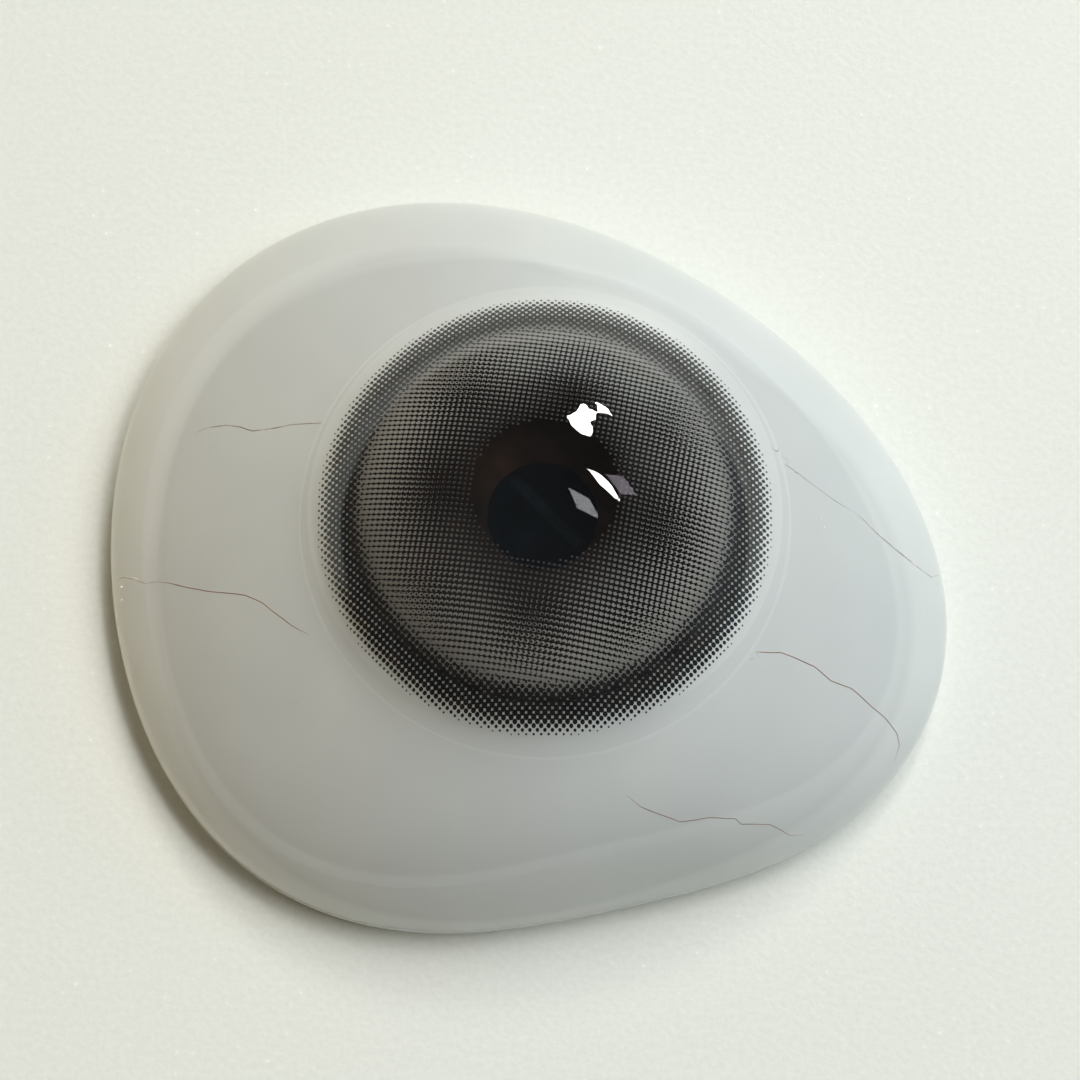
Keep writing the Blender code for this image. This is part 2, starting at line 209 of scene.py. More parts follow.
# Half the height of an upright pattern, so tall that it looks the same at every height of the part
COLUMN_HEIGHT = 7.0

# How deep the long waves of a polished surface are
RIPPLE_DEPTH = 0.02 * MM


def outline_radius(angle):
    """Distance from the iris axis to the shell's outer edge."""
    radius = OUTLINE_RADIUS
    for count, (amount, direction) in enumerate(OUTLINE_WAVES, start=1):
        radius += amount * math.cos(count * (angle - math.radians(direction)))
    return radius


def round_front(radius):
    """Height and fall of the turned middle of the front."""
    dome_radius = min(radius, LIMBUS_RADIUS)
    drop = math.sqrt(CORNEA_RADIUS ** 2 - dome_radius ** 2)
    height = DOME_TOP - CORNEA_RADIUS + drop
    fall = dome_radius / drop
    in_fillet = min(max(radius - LIMBUS_RADIUS, 0.0), LIMBUS_FILLET)
    change = (FLANGE_SLOPE - fall) / LIMBUS_FILLET
    height -= fall * in_fillet + change * in_fillet ** 2 / 2
    fall += change * in_fillet
    height -= fall * max(radius - LIMBUS_RADIUS - LIMBUS_FILLET, 0.0)
    return height, fall


def bend(start, middle, end, share):
    """A point of the quadratic curve from start to end that aims at middle."""
    first, second, third = (1 - share) ** 2, 2 * share * (1 - share), share ** 2
    return tuple(first * a + second * b + third * c for a, b, c in zip(start, middle, end))


def smooth_share(value):
    """0 below 0, 1 above 1, and a smooth rise between them."""
    value = min(max(value, 0.0), 1.0)
    return value * value * (3 - 2 * value)


def crease_share(angle):
    """Where the crease of the edge band crosses a side curve."""
    width = BAND_WIDTH + BAND_SHIFT * math.cos(angle - math.radians(BAND_WIDEST))
    return max(1 - math.sqrt(width / (outline_radius(angle) - ROUND_RADIUS)), 2 * BAND_CREASE)


def front_point(angle, reach, depth=0.0):
    """
    Radius and height of a point of the front, or of a layer that lies a depth under it.

    A reach of 0 to 1 goes over the turned middle, and 1 to 2 goes down the side to the edge.
    """
    if reach <= 1:
        radius = reach * ROUND_RADIUS
        height, downward = round_front(radius)
        outward = 1.0
        raised = -depth
    else:
        share = reach - 1
        length = outline_radius(angle) - ROUND_RADIUS
        start = round_front(ROUND_RADIUS)[0]
        aim = start - FLANGE_SLOPE * length
        edge = ROUND_RADIUS + length
        radius, height = bend((ROUND_RADIUS, start), (edge, aim), (edge, FRONT_EDGE_HEIGHT), share)
        outward = 2 * (1 - share) * length
        downward = 2 * (1 - share) * (start - aim) + 2 * share * (aim - FRONT_EDGE_HEIGHT)
        crease = crease_share(angle)
        past = smooth_share((share - crease) / (2 * BAND_CREASE) + 0.5)
        raised = BAND_STEP * (1 - past) * smooth_share(share / crease) - depth
    size = math.hypot(outward, downward)
    return radius + raised * downward / size, height + raised * outward / size


def coat_depth(reach):
    """Depth of the white body under the front, which thins towards the edge."""
    return COAT_DEPTH + (COAT_EDGE_DEPTH - COAT_DEPTH) * max(reach - 1, 0.0)


def band_share(angle, reach):
    """0 on the middle of the white body, 1 on its edge band, and a short rise at the crease."""
    past = (reach - 1 - crease_share(angle)) / (2 * CREASE_SPREAD * BAND_CREASE) + 0.5
    return min(max(past, 0.0), 1.0)


def spread(start, end, count):
    """count + 1 values from start to end."""
    return [start + (end - start) * step / count for step in range(count + 1)]


def side_reaches(angle, count):
    """Reaches down the side, with rings that follow the crease of the edge band."""
    crease = 1 + crease_share(angle)
    inner = crease - CREASE_SPREAD * BAND_CREASE
    outer = crease + CREASE_SPREAD * BAND_CREASE
    before = spread(1.0, inner, count)[1:]
    across = spread(inner, outer, CREASE_RINGS)[1:]
    return before + across + spread(outer, 2.0, count // 2)[1:]


def finish_object(name, data, material, slot, *nodes):
    """Link mesh or curve data as a piece that rides on the part."""
    data.materials.append(material)
    piece = bpy.data.objects.new(name, data)
    bpy.context.scene.collection.objects.link(piece)
    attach(piece, "root")
    if nodes:
        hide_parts(*nodes)
    return piece


def finish_piece(name, mesh, material, slot, *nodes):
    """Make a bmesh into a smooth piece on the iris axis."""
    bmesh.ops.translate(mesh, verts=mesh.verts, vec=AXIS)
    data = bpy.data.meshes.new(name)
    mesh.to_mesh(data)
    mesh.free()
    data.shade_smooth()
    data.set_sharp_from_angle(angle=math.radians(SHARP_ANGLE))
    return finish_object(name, data, material, slot, *nodes)


def pass_light(piece):
    """Let the lamps and soft light pass a clear or finely dotted piece."""
    piece.visible_shadow = False
    piece.visible_diffuse = False


def turned_mesh(profile, steps):
    """Spin a profile of radius and height round the iris axis."""
    mesh = bmesh.new()
    points = [mesh.verts.new((radius, 0.0, height)) for radius, height in profile]
    edges = [mesh.edges.new(pair) for pair in zip(points, points[1:])]
    bmesh.ops.spin(
        mesh, geom=points + edges, axis=(0, 0, 1), cent=(0, 0, 0), dvec=(0, 0, 0),
        angle=2 * math.pi, steps=steps, use_merge=True,
    )
    bmesh.ops.remove_doubles(mesh, verts=mesh.verts, dist=MERGE_DISTANCE)
    bmesh.ops.recalc_face_normals(mesh, faces=mesh.faces)
    return mesh


def shell_mesh(profile, steps):
    """
    Spin a blank with one ring for each point of profile, then pull each ring out to the outline.

    profile gives, for a direction, the radius, the height and the band share of every ring from the
    first pole to the last. The band share is kept as the attribute band.
    """
    count = len(profile(0.0))
    blank = [(0.0, 0.0)] + [(1.0, -float(index)) for index in range(1, count - 1)] + [(0.0, 1.0 - count)]
    mesh = turned_mesh([(radius * MM, height * MM) for radius, height in blank], steps)
    band = mesh.verts.layers.float.new("band")
    rings = {}
    for vert in mesh.verts:
        angle = math.atan2(vert.co.y, vert.co.x)
        index = round(-vert.co.z / MM)
        key = round(angle * steps / (2 * math.pi))
        if key not in rings:
            rings[key] = profile(angle)
        radius, height, vert[band] = rings[key][index]
        vert.co = (radius * math.cos(angle), radius * math.sin(angle), height)
    return mesh


# Materials

def new_material(name, colour, roughness, **sockets):
    """A Principled material, with plain values on its own sockets."""
    material = bpy.data.materials.new(name)
    material.use_nodes = True
    shader = material.node_tree.nodes["Principled BSDF"]
    shader.inputs["Base Color"].default_value = (*colour, 1.0)
    shader.inputs["Roughness"].default_value = roughness
    for socket, value in sockets.items():
        shader.inputs[socket.replace("_", " ")].default_value = value
    return material, shader


def add_node(owner, kind, **values):
    """Add a node, and set its properties and the inputs that share a name with a value."""
    node = owner.node_tree.nodes.new(kind)
    for name, value in values.items():
        if hasattr(node, name):
            setattr(node, name, value)
        else:
            node.inputs[name.replace("_", " ")].default_value = value
    return node


def join_nodes(owner, source, output, target, socket):
    """Link an output of one node to an input of another."""
    owner.node_tree.links.new(source.outputs[output], target.inputs[socket])


def place_node(material, centre=(0.0, 0.0, 0.0), reach=(MM, MM, MM)):
    """Object coordinates from a point on the iris axis, as shares of a reach along each axis."""
    coordinates = add_node(material, "ShaderNodeTexCoord")
    mapping = add_node(material, "ShaderNodeMapping")
    middle = AXIS + Vector(centre)
    mapping.inputs["Location"].default_value = tuple(-part / size for part, size in zip(middle, reach))
    mapping.inputs["Scale"].default_value = tuple(1 / size for size in reach)
    join_nodes(material, coordinates, "Object", mapping, "Vector")
    return mapping


def noise_node(material, place, scale, detail=3.0, roughness=0.5):
    """A noise pattern with its scale per millimetre."""
    node = add_node(material, "ShaderNodeTexNoise", Scale=scale, Detail=detail, Roughness=roughness)
    join_nodes(material, place, "Vector", node, "Vector")
    return node


def column_node(material, x, y, half_width, half_depth):
    """
    A pattern that falls from 1 on an upright line to 0 on an oval round it.

    x and y place the line from the iris axis, and the half width and half depth are the oval's.
    """
    node = add_node(material, "ShaderNodeTexGradient", gradient_type="SPHERICAL")
    place = place_node(material, (x, y, 0.0), (half_width, half_depth, COLUMN_HEIGHT))
    join_nodes(material, place, "Vector", node, "Vector")
    return node


def ramp_node(material, source, output, *stops):
    """A colour ramp with stops of a place and a colour."""
    node = add_node(material, "ShaderNodeValToRGB")
    ramp = node.color_ramp
    while len(ramp.elements) < len(stops):
        ramp.elements.new(0.5)
    for element, (place, colour) in zip(ramp.elements, stops):
        element.position = place
        element.color = (*colour, 1.0)
    join_nodes(material, source, output, node, "Fac")
    return node


def mix_node(material, kind, first, second, share=None):
    """Mix two colour nodes, by a node's share or in full."""
    node = add_node(material, "ShaderNodeMixRGB", blend_type=kind)
    node.inputs["Fac"].default_value = 1.0
    if share:
        join_nodes(material, share, "Color", node, "Fac")
    join_nodes(material, first, "Color", node, "Color1")
    join_nodes(material, second, "Color", node, "Color2")
    return node


def bump_node(material, source, output, strength, distance):
    """A bump that takes its height from a pattern."""
    node = add_node(material, "ShaderNodeBump", Strength=strength, Distance=distance)
    join_nodes(material, source, output, node, "Height")
    return node


def grey(value):
    """A neutral colour."""
    return (value, value, value)


def wander(material, shader, scale, detail, dark, light):
    """A base colour that wanders between two stops, each a place on the noise and a colour."""
    tones = noise_node(material, place_node(material), scale, detail)
    colour = ramp_node(material, tones, "Fac", dark, light)
    join_nodes(material, colour, "Color", shader, "Base Color")


def ripple(material, shader, scale, strength):
    """Long, faint waves on a polished surface."""
    waves = noise_node(material, place_node(material), scale, 1.0)
    bump = bump_node(material, waves, "Fac", strength, RIPPLE_DEPTH)
    join_nodes(material, bump, "Normal", shader, "Normal")


def make_white_acrylic():
    """Milky white acrylic with a faint cloudiness, lighter on the edge band, with a painted shade line at the
    crease before it.
    """
    material, shader = new_material("milky white acrylic", (0.60, 0.62, 0.61), 0.35, Specular_IOR_Level=0.2)
    place = place_node(material)
    clouds = noise_node(material, place, 0.35, 3.0)
    milk = ramp_node(material, clouds, "Fac", (0.3, (0.635, 0.663, 0.660)), (0.7, (0.665, 0.694, 0.686)))
    band = add_node(material, "ShaderNodeAttribute", attribute_name="band")
    # Along the band share: the middle, then a painted shade line that dips darker just inside the crease,
    # then the lighter edge band
    tone = ramp_node(
        material, band, "Fac", (0.0, grey(0.915)), (0.35, grey(0.90)), (0.75, grey(0.99)), (1.0, grey(1.0))
    )
    colour = mix_node(material, "MULTIPLY", milk, tone)
    join_nodes(material, colour, "Color", shader, "Base Color")
    return material


def make_clear_acrylic():
    """Polished clear acrylic, whose surface bends no light under the wet lens."""
    material, shader = new_material(
        "polished clear acrylic", (0.985, 0.99, 0.985), 0.01, Transmission_Weight=1.0
    )
    ripple(material, shader, 0.5, 0.15)
    covered = column_node(material, 0.0, 0.0, LENS_RADIUS, LENS_RADIUS)
    lens_edge = (0.0001, 0.0003)
    bending = add_node(
        material, "ShaderNodeMapRange", From_Min=lens_edge[0], From_Max=lens_edge[1],
        To_Min=ACRYLIC_BENDING, To_Max=COVERED_BENDING,
    )
    join_nodes(material, covered, "Fac", bending, "Value")
    join_nodes(material, bending, "Result", shader, "IOR")
    return material


def make_hydrogel():
    """The wet, clear gel of the soft lens. Light that goes through it ends up bent as in the acrylic."""
    material, shader = new_material(
        "wet clear hydrogel", (0.99, 0.99, 0.99), 0.01, Transmission_Weight=1.0, IOR=ACRYLIC_BENDING
    )
    ripple(material, shader, 0.8, 0.10)
    return material


def make_iris_paint():
    """Dark brown iris paint with darker patches, a warmer patch beside the pupil and a pale edge, greyed as
    painted shade of the dark ring print above it.
    """
    material, shader = new_material(
        "dark brown iris paint", (0.02, 0.013, 0.011), 0.55, Specular_IOR_Level=0.1
    )
    place = place_node(material)
    patches = noise_node(material, place, 0.9, 4.0, 0.6)
    brown = ramp_node(
        material, patches, "Fac",
        (0.35, (0.0065, 0.0052, 0.0050)), (0.55, (0.0100, 0.0074, 0.0068)), (0.75, (0.0150, 0.0104, 0.0088)),
    )
    patch_x = PUPIL_PLACE.x - 1.25 * MM
    patch_y = PUPIL_PLACE.y + 1.15 * MM
    patch = column_node(material, patch_x, patch_y, 1.0 * MM, 0.9 * MM)
    share = ramp_node(material, patch, "Fac", (0.0, grey(0.0)), (0.8, grey(0.6)))
    warm = ramp_node(material, patches, "Fac", (0.4, (0.022, 0.0135, 0.0100)), (0.6, (0.036, 0.021, 0.0150)))
    iris = mix_node(material, "MIX", brown, warm, share)
    painted = column_node(material, 0.0, 0.0, POCKET_RADIUS, POCKET_RADIUS)
    edge = 1 - PAINTED_RADIUS / POCKET_RADIUS
    inside = ramp_node(material, painted, "Fac", (edge - 0.01, grey(0.0)), (edge + 0.01, grey(1.0)))
    # The pale edge is grey rather than white: painted shade of the dark ring print, which casts no shadow
    pale = ramp_node(material, patches, "Fac", (0.4, (0.36, 0.37, 0.35)), (0.6, (0.39, 0.40, 0.38)))
    colour = mix_node(material, "MIX", pale, iris, inside)
    join_nodes(material, colour, "Color", shader, "Base Color")
    return material


def make_pupil_paint():
    """Glossy blue-black paint."""
    material, shader = new_material(
        "blue-black pupil paint", (0.006, 0.007, 0.009), 0.0, Specular_IOR_Level=0.5
    )
    wander(material, shader, 1.2, 2.0, (0.3, (0.0055, 0.0072, 0.0088)), (0.7, (0.0078, 0.0100, 0.0125)))
    return material


def make_black_ink(name, light):
    """Printed black ink with small changes of tone from dot to dot."""
    material, shader = new_material(name, light, 0.6, Specular_IOR_Level=0.15)
    wander(material, shader, 2.0, 1.0, (0.3, (0.008, 0.008, 0.009)), (0.7, light))
    return material


def make_grey_ink():
    """Grey ink of the inner field, darker towards the clear middle and under the dark ring, with painted
    shade on the left and lower left.
    """
    material, shader = new_material("grey dot ink", (0.3, 0.29, 0.26), 0.6, Specular_IOR_Level=0.15)
    radial = column_node(material, 0.0, 0.0, LENS_RADIUS, LENS_RADIUS)
    tone = ramp_node(
        material, radial, "Fac",
        (0.20, (0.150, 0.150, 0.145)), (0.27, (0.180, 0.178, 0.168)), (0.31, (0.245, 0.240, 0.222)),
        (0.39, (0.270, 0.265, 0.248)), (0.48, (0.240, 0.235, 0.223)), (0.56, (0.158, 0.154, 0.149)),
        (0.69, (0.052, 0.050, 0.049)),
    )
    # Painted shade: the ink is darkened towards the left and lower left, the side away from the key light
    painted_shade_reach = 4.6 * MM
    left = column_node(material, -3.4 * MM, -2.3 * MM, painted_shade_reach, painted_shade_reach)
    left_painted_shade = ramp_node(material, left, "Fac", (0.0, grey(1.0)), (0.6, grey(0.72)))
    colour = mix_node(material, "MULTIPLY", tone, left_painted_shade)
    join_nodes(material, colour, "Color", shader, "Base Color")
    return material


def make_thread(name, colour):
    """Fine silk thread."""
    material, shader = new_material(name, colour, 0.7, Specular_IOR_Level=0.1)
    dark = tuple(0.6 * part for part in colour)
    light = tuple(1.25 * part for part in colour)
    wander(material, shader, 2.0, 2.0, (0.35, dark), (0.65, light))
    return material


def make_dust_and_glint_white():
    """White of the specks, partly acrylic dust and partly painted glints."""
    material, shader = new_material("white dust and glint specks", (0.95, 0.95, 0.93), 0.5)
    wander(material, shader, 8.0, 1.0, (0.3, (0.90, 0.90, 0.88)), (0.7, (1.0, 1.0, 0.98)))
    return material


def make_table_covering():
    """Pale table covering with a fine grain and a few white specks."""
    material, shader = new_material("pale grained table", (0.80, 0.84, 0.77), 0.5, Specular_IOR_Level=0.3)
    place = place_node(material)
    grain = noise_node(material, place, 5.0, 3.0, 0.6)
    ground = ramp_node(material, grain, "Fac", (0.3, (0.820, 0.840, 0.788)), (0.7, (0.868, 0.888, 0.836)))
    specks = noise_node(material, place, 5.0, 1.0)
    share = ramp_node(material, specks, "Fac", (0.76, grey(0.0)), (0.80, grey(1.0)))
    white = ramp_node(material, grain, "Fac", (0.3, grey(0.97)), (0.7, grey(1.0)))
    colour = mix_node(material, "MIX", ground, white, share)
    join_nodes(material, colour, "Color", shader, "Base Color")
    bump = bump_node(material, grain, "Fac", 0.15, 0.05 * MM)
    join_nodes(material, bump, "Normal", shader, "Normal")
    return material


# Pieces

def make_white_core(material):
    """The white body, with the iris pocket in front and the hollow behind."""

    def profile(angle):
        outer = outline_radius(angle)
        floor_rings = (0.0, POCKET_RADIUS - POCKET_EDGE_RING, POCKET_RADIUS)
        points = [(radius, POCKET_FLOOR, 0.0) for radius in floor_rings]
        first = POCKET_RADIUS / (1 - COAT_DEPTH / CORNEA_RADIUS) / ROUND_RADIUS
        for reach in spread(first, 1.0, FLANGE_RINGS) + side_reaches(angle, WHITE_SIDE_RINGS)[:-1]:
            points.append((*front_point(angle, reach, coat_depth(reach)), band_share(angle, reach)))
        back = [(outer - COAT_EDGE_DEPTH, PARTING_HEIGHT), (outer, PARTING_HEIGHT)]
        middle = outer - RIM_WIDTH / 2
        inner = outer - RIM_WIDTH
        for share in spread(0.0, 1.0, RIM_RINGS)[1:]:
            back.append(bend((outer, PARTING_HEIGHT), (outer, 0.0), (middle, 0.0), share))
        for share in spread(0.0, 1.0, RIM_RINGS)[1:]:
            back.append(bend((middle, 0.0), (inner, 0.0), (inner, RIM_INNER_HEIGHT), share))
        edge_height = HOLLOW_TOP - HOLLOW_SLOPE * HOLLOW_RADIUS / 2
        aim = edge_height - HOLLOW_SLOPE * (inner - HOLLOW_RADIUS)
        for share in spread(1.0, 0.0, HOLLOW_SIDE_RINGS)[1:]:
            back.append(bend((HOLLOW_RADIUS, edge_height), (inner, aim), (inner, RIM_INNER_HEIGHT), share))
        for radius in spread(HOLLOW_RADIUS, 0.0, HOLLOW_TOP_RINGS)[1:]:
            back.append((radius, HOLLOW_TOP - HOLLOW_SLOPE * radius ** 2 / (2 * HOLLOW_RADIUS)))
        return points + [(*point, 1.0) for point in back]

    mesh = shell_mesh(profile, AROUND)
    finish_piece("white_core", mesh, material, "white_acrylic", "white_body")


def make_clear_coat(material):
    """The clear dome and the coat, which sink a little into what lies under them."""

    def profile(angle):
        reaches = spread(0.0, 1.0, DOME_RINGS)[1:] + side_reaches(angle, COAT_SIDE_RINGS)
        points = [(0.0, DOME_TOP)] + [front_point(angle, reach) for reach in reaches]
        outer = outline_radius(angle)
        points.append((outer, PARTING_HEIGHT - SINK / 2))
        points.append((outer - COAT_EDGE_DEPTH - SINK, PARTING_HEIGHT - SINK / 2))
        first = (POCKET_RADIUS + SINK) / (1 - COAT_DEPTH / CORNEA_RADIUS) / ROUND_RADIUS
        inner_reaches = spread(first, 1.0, FLANGE_RINGS) + side_reaches(angle, COAT_UNDERSIDE_RINGS)[:-1]
        points += [front_point(angle, reach, coat_depth(reach) + SINK) for reach in reversed(inner_reaches)]
        floor_rings = (POCKET_RADIUS + SINK, POCKET_RADIUS - POCKET_EDGE_RING, 0.0)
        points += [(radius, IRIS_TOP - SINK) for radius in floor_rings]
        return [(*point, 0.0) for point in points]

    mesh = shell_mesh(profile, AROUND)
    pass_light(finish_piece("clear_coat", mesh, material, "clear_acrylic", "clear_front"))


def make_soft_lens(material):
    """
    The outer skin of the soft lens, which thins out and ends in a small round edge on the dome.

    It has no back, as its wet gel lies on the dome without any air.
    """
    full = LENS_RADIUS - LENS_BEVEL
    last = LENS_RADIUS - LENS_ROUND
    skin = []
    for radius in spread(0.0, full, LENS_RINGS) + spread(full, last, LENS_BEVEL_RINGS)[1:]:
        inward = smooth_share((last - radius) / (last - full))
        lift = LENS_EDGE_LIFT + (LENS_LIFT + LENS_THICKNESS - LENS_EDGE_LIFT) * inward
        height, fall = round_front(radius)
        skin.append((radius, height + lift * math.sqrt(1 + fall ** 2)))
    for turn in spread(0.0, math.pi / 2, LENS_EDGE_RINGS)[1:]:
        radius = last + LENS_ROUND * math.sin(turn)
        lift = (LENS_EDGE_LIFT + SINK) * math.cos(turn) - SINK
        skin.append((radius, round_front(radius)[0] + lift))
    mesh = turned_mesh(skin, LENS_AROUND)
    mesh.normal_update()
    inward_faces = [face for face in mesh.faces if face.normal.z < 0]
    bmesh.ops.reverse_faces(mesh, faces=inward_faces)
    pass_light(finish_piece("soft_lens", mesh, material, "clear_hydrogel", "contact_lens"))


def make_iris_plate(material):
    """The painted iris, which reaches to the pocket's wall."""
    outer = POCKET_RADIUS + SINK
    profile = [(0.0, IRIS_TOP), (outer, IRIS_TOP), (outer, IRIS_LOW.z), (0.0, IRIS_LOW.z)]
    mesh = turned_mesh(profile, PLATE_AROUND)
    finish_piece("iris_plate", mesh, material, "brown_iris_paint", "iris_disc")


def make_pupil_plate(material):
    """The pupil, a thin film over the iris plate."""
    film = 0.004 * MM
    thickness = 0.4 * MM
    mesh = bmesh.new()
    bmesh.ops.create_cone(
        mesh, cap_ends=True, segments=PLATE_AROUND, radius1=PUPIL_RADIUS, radius2=PUPIL_RADIUS,
        depth=thickness,
    )
    place = (PUPIL_PLACE.x, PUPIL_PLACE.y, IRIS_TOP + film - thickness / 2)
    bmesh.ops.translate(mesh, verts=mesh.verts, vec=place)
    finish_piece("pupil_plate", mesh, material, "black_pupil_paint", "pupil_disc")


def thread_points(route, seed):
    """Flat places along a route, close together, with small waves across the thread."""
    turns = [(math.radians(degrees), share) for degrees, share in route]
    knots = [Vector((math.cos(a), math.sin(a))) * share * outline_radius(a) for a, share in turns]
    chance = random.Random(seed)
    waves = []
    for _ in range(THREAD_WAVE_COUNT):
        rate = chance.uniform(*THREAD_WAVE_RATES) / MM
        waves.append((rate, chance.uniform(0, 2 * math.pi)))
    points = []
    travelled = 0.0
    for near, far in zip(knots, knots[1:]):
        length = (far - near).length
        across = Vector((near.y - far.y, far.x - near.x)) / length
        count = max(2, round(length / THREAD_STEP))
        for step in range(count):
            along = travelled + length * step / count
            wave = sum(math.sin(rate * along + start) for rate, start in waves) * THREAD_WAVE / 2
            points.append(near.lerp(far, step / count) + across * wave)
        travelled += length
    points.append(knots[-1])
    return points


def on_white_core(flat, sunk):
    """The place on the white body under a flat place, sunk into it by a depth."""
    angle = math.atan2(flat.y, flat.x)
    outer = outline_radius(angle)
    radius = min(flat.length, THREAD_FURTHEST * outer)
    if radius < ROUND_RADIUS:
        height, fall = round_front(radius)
        height -= (COAT_DEPTH + sunk) * math.sqrt(1 + fall ** 2)
    else:
        reach = 2 - math.sqrt((outer - radius) / (outer - ROUND_RADIUS))
        radius, height = front_point(angle, reach, coat_depth(reach) + sunk)
    return AXIS + Vector((radius * math.cos(angle), radius * math.sin(angle), height))


def make_thread_piece(name, node, width, route, material, seed):
    """One fine thread on the white body, which thins out at both ends."""
    curve = bpy.data.curves.new(name, "CURVE")
    curve.dimensions = "3D"
    curve.bevel_depth = width * MM / 2
    curve.bevel_resolution = 1
    curve.use_fill_caps = True
    sunk = THREAD_SUNK * curve.bevel_depth
    points = [on_white_core(flat, sunk) for flat in thread_points(route, seed)]
    spline = curve.splines.new("POLY")
    spline.points.add(len(points) - 1)
    last = len(points) - 1
    for index, (point, place) in enumerate(zip(spline.points, points)):
        point.co = (*place, 1.0)
        full = smooth_share(min(index, last - index) / THREAD_END_POINTS)
        point.radius = THREAD_END_SHARE + (1 - THREAD_END_SHARE) * full
    nodes = [node] if node else []
    piece = finish_object(name, curve, material, "red_thread", *nodes)
    piece.visible_shadow = False


def make_threads():
    """The red vein threads and a few stray fibres."""
    finishes = {name: make_thread(name + " silk thread", colour) for name, colour in THREAD_COLOURS.items()}
    for seed, (name, node, width, finish, route) in enumerate(THREADS):
        make_thread_piece(name, node, width, route, finishes[finish], seed)


def make_dust_and_glints(material):
    """A few white specks on the front, partly acrylic dust and partly painted glints."""
    mesh = bmesh.new()
    for degrees, share, size in DUST_AND_GLINTS:
        angle = math.radians(degrees)
        outer = outline_radius(angle)
        reach = 2 - math.sqrt((1 - share) * outer / (outer - ROUND_RADIUS))
        radius, height = front_point(angle, reach)
        place = (radius * math.cos(angle), radius * math.sin(angle), height)
        bmesh.ops.create_icosphere(mesh, subdivisions=1, radius=size * MM, matrix=Matrix.Translation(place))
    finish_piece("dust_and_glint_specks", mesh, material, "white_acrylic")


def dot_grid():
    """A square grid of small upright prisms, doubled along X and then along Y until it is wide enough."""
    mesh = bmesh.new()
    bmesh.ops.create_cone(
        mesh, cap_ends=True, segments=DOT_SIDES, radius1=DOT_BLANK, radius2=DOT_BLANK, depth=DOT_BLANK
    )
    for direction in (Vector((1, 0, 0)), Vector((0, 1, 0))):
        done = 1
        while done < GRID_COUNT:
            limit = (GRID_COUNT - done - 0.5) * DOT_PITCH
            geometry = [vert for vert in mesh.verts if vert.co.dot(direction) < limit]
            wanted = set(geometry)
            geometry += [edge for edge in mesh.edges if edge.verts[0] in wanted]
            geometry += [face for face in mesh.faces if face.verts[0] in wanted]
            copied = bmesh.ops.duplicate(mesh, geom=geometry)["geom"]
            moved = [item for item in copied if isinstance(item, bmesh.types.BMVert)]
            bmesh.ops.translate(mesh, verts=moved, vec=direction * DOT_PITCH * done)
            done = min(2 * done, GRID_COUNT)
    middle = -DOT_PITCH * (GRID_COUNT // 2)
    bmesh.ops.translate(mesh, verts=mesh.verts, vec=(middle, middle, 0.0))
    return mesh


def make_dots(name, turn, shift, dot_radius, bottom, top, material, slot, *nodes, stretch=(1.0, 1.0)):
    """
    Printed dots on a turned square grid that follow the dome.

    dot_radius gives a dot's radius from its distance to the iris axis, and 0 leaves it out. stretch
    draws each dot longer or shorter along X and Y.
    """
    mesh = dot_grid()
    turning = Matrix.Rotation(math.radians(turn), 2)
    unwanted = []
    places = {}
    for vert in mesh.verts:
        cell = (round(vert.co.x / DOT_PITCH), round(vert.co.y / DOT_PITCH))
        if cell not in places:
            centre = turning @ Vector(cell) * DOT_PITCH + Vector(shift)
            places[cell] = (centre, dot_radius(centre.length))
        centre, size = places[cell]
        if size <= 0:
            unwanted.append(vert)
            continue
        growth = size / DOT_BLANK
        x = centre.x + (vert.co.x - cell[0] * DOT_PITCH) * stretch[0] * growth
        y = centre.y + (vert.co.y - cell[1] * DOT_PITCH) * stretch[1] * growth
        height, fall = round_front(math.hypot(x, y))
        lift = top if vert.co.z > 0 else bottom
        vert.co = (x, y, height + lift * math.sqrt(1 + fall ** 2))
    bmesh.ops.delete(mesh, geom=unwanted, context="VERTS")
    return finish_piece(name, mesh, material, slot, *nodes)


def by_radius(*stops):
    """A function of the distance from the axis, in straight runs between stops of distance and size in mm."""

    def size(radius):
        radius /= MM
        if radius < stops[0][0] or radius > stops[-1][0]:
            return 0.0
        for (near, first), (far, last) in zip(stops, stops[1:]):
            if radius <= far:
                return (first + (last - first) * (radius - near) / (far - near)) * MM
        return 0.0

    return size


def make_print():
    """The dark ring, the grey inner field and the black dots over it."""
    ring_ink = make_black_ink("black ring ink", (0.016, 0.015, 0.015))
    black_ink = make_black_ink("black dot ink", (0.014, 0.013, 0.013))
    ring = by_radius(
        (5.10, 0.014), (5.22, 0.042), (5.34, 0.064), (5.47, 0.078), (6.04, 0.079),
        (6.16, 0.072), (6.28, 0.058), (6.40, 0.041), (6.50, 0.020),
    )
    grey_field = by_radius(
        (2.05, 0.032), (2.50, 0.043), (3.20, 0.052), (4.00, 0.060), (4.60, 0.066), (5.00, 0.071),
        (5.25, 0.080), (5.60, 0.083),
    )
    black = by_radius((2.15, 0.030), (2.80, 0.042), (3.60, 0.043), (4.30, 0.036), (5.00, 0.020))
    levels = spread(PRINT_BOTTOM, PRINT_TOP, 6)
    space = (levels[1] - levels[0]) / 10
    make_dots(
        "grey_dots", GREY_TURN, (0.0, 0.0), grey_field, levels[0], levels[2], make_grey_ink(),
        "grey_iris_ink", "iris_print", stretch=GREY_STRETCH,
    )
    make_dots(
        "black_dots", BLACK_TURN, (0.02 * MM, 0.01 * MM), black, levels[2] + space, levels[4], black_ink,
        "dark_ring_ink",
    )
    dark_ring = make_dots(
        "ring_dots", RING_TURN, (0.0, 0.0), ring, levels[4] + space, levels[6], ring_ink,
        "dark_ring_ink", "ring_print",
    )
    pass_light(dark_ring)


# Stage, camera and light

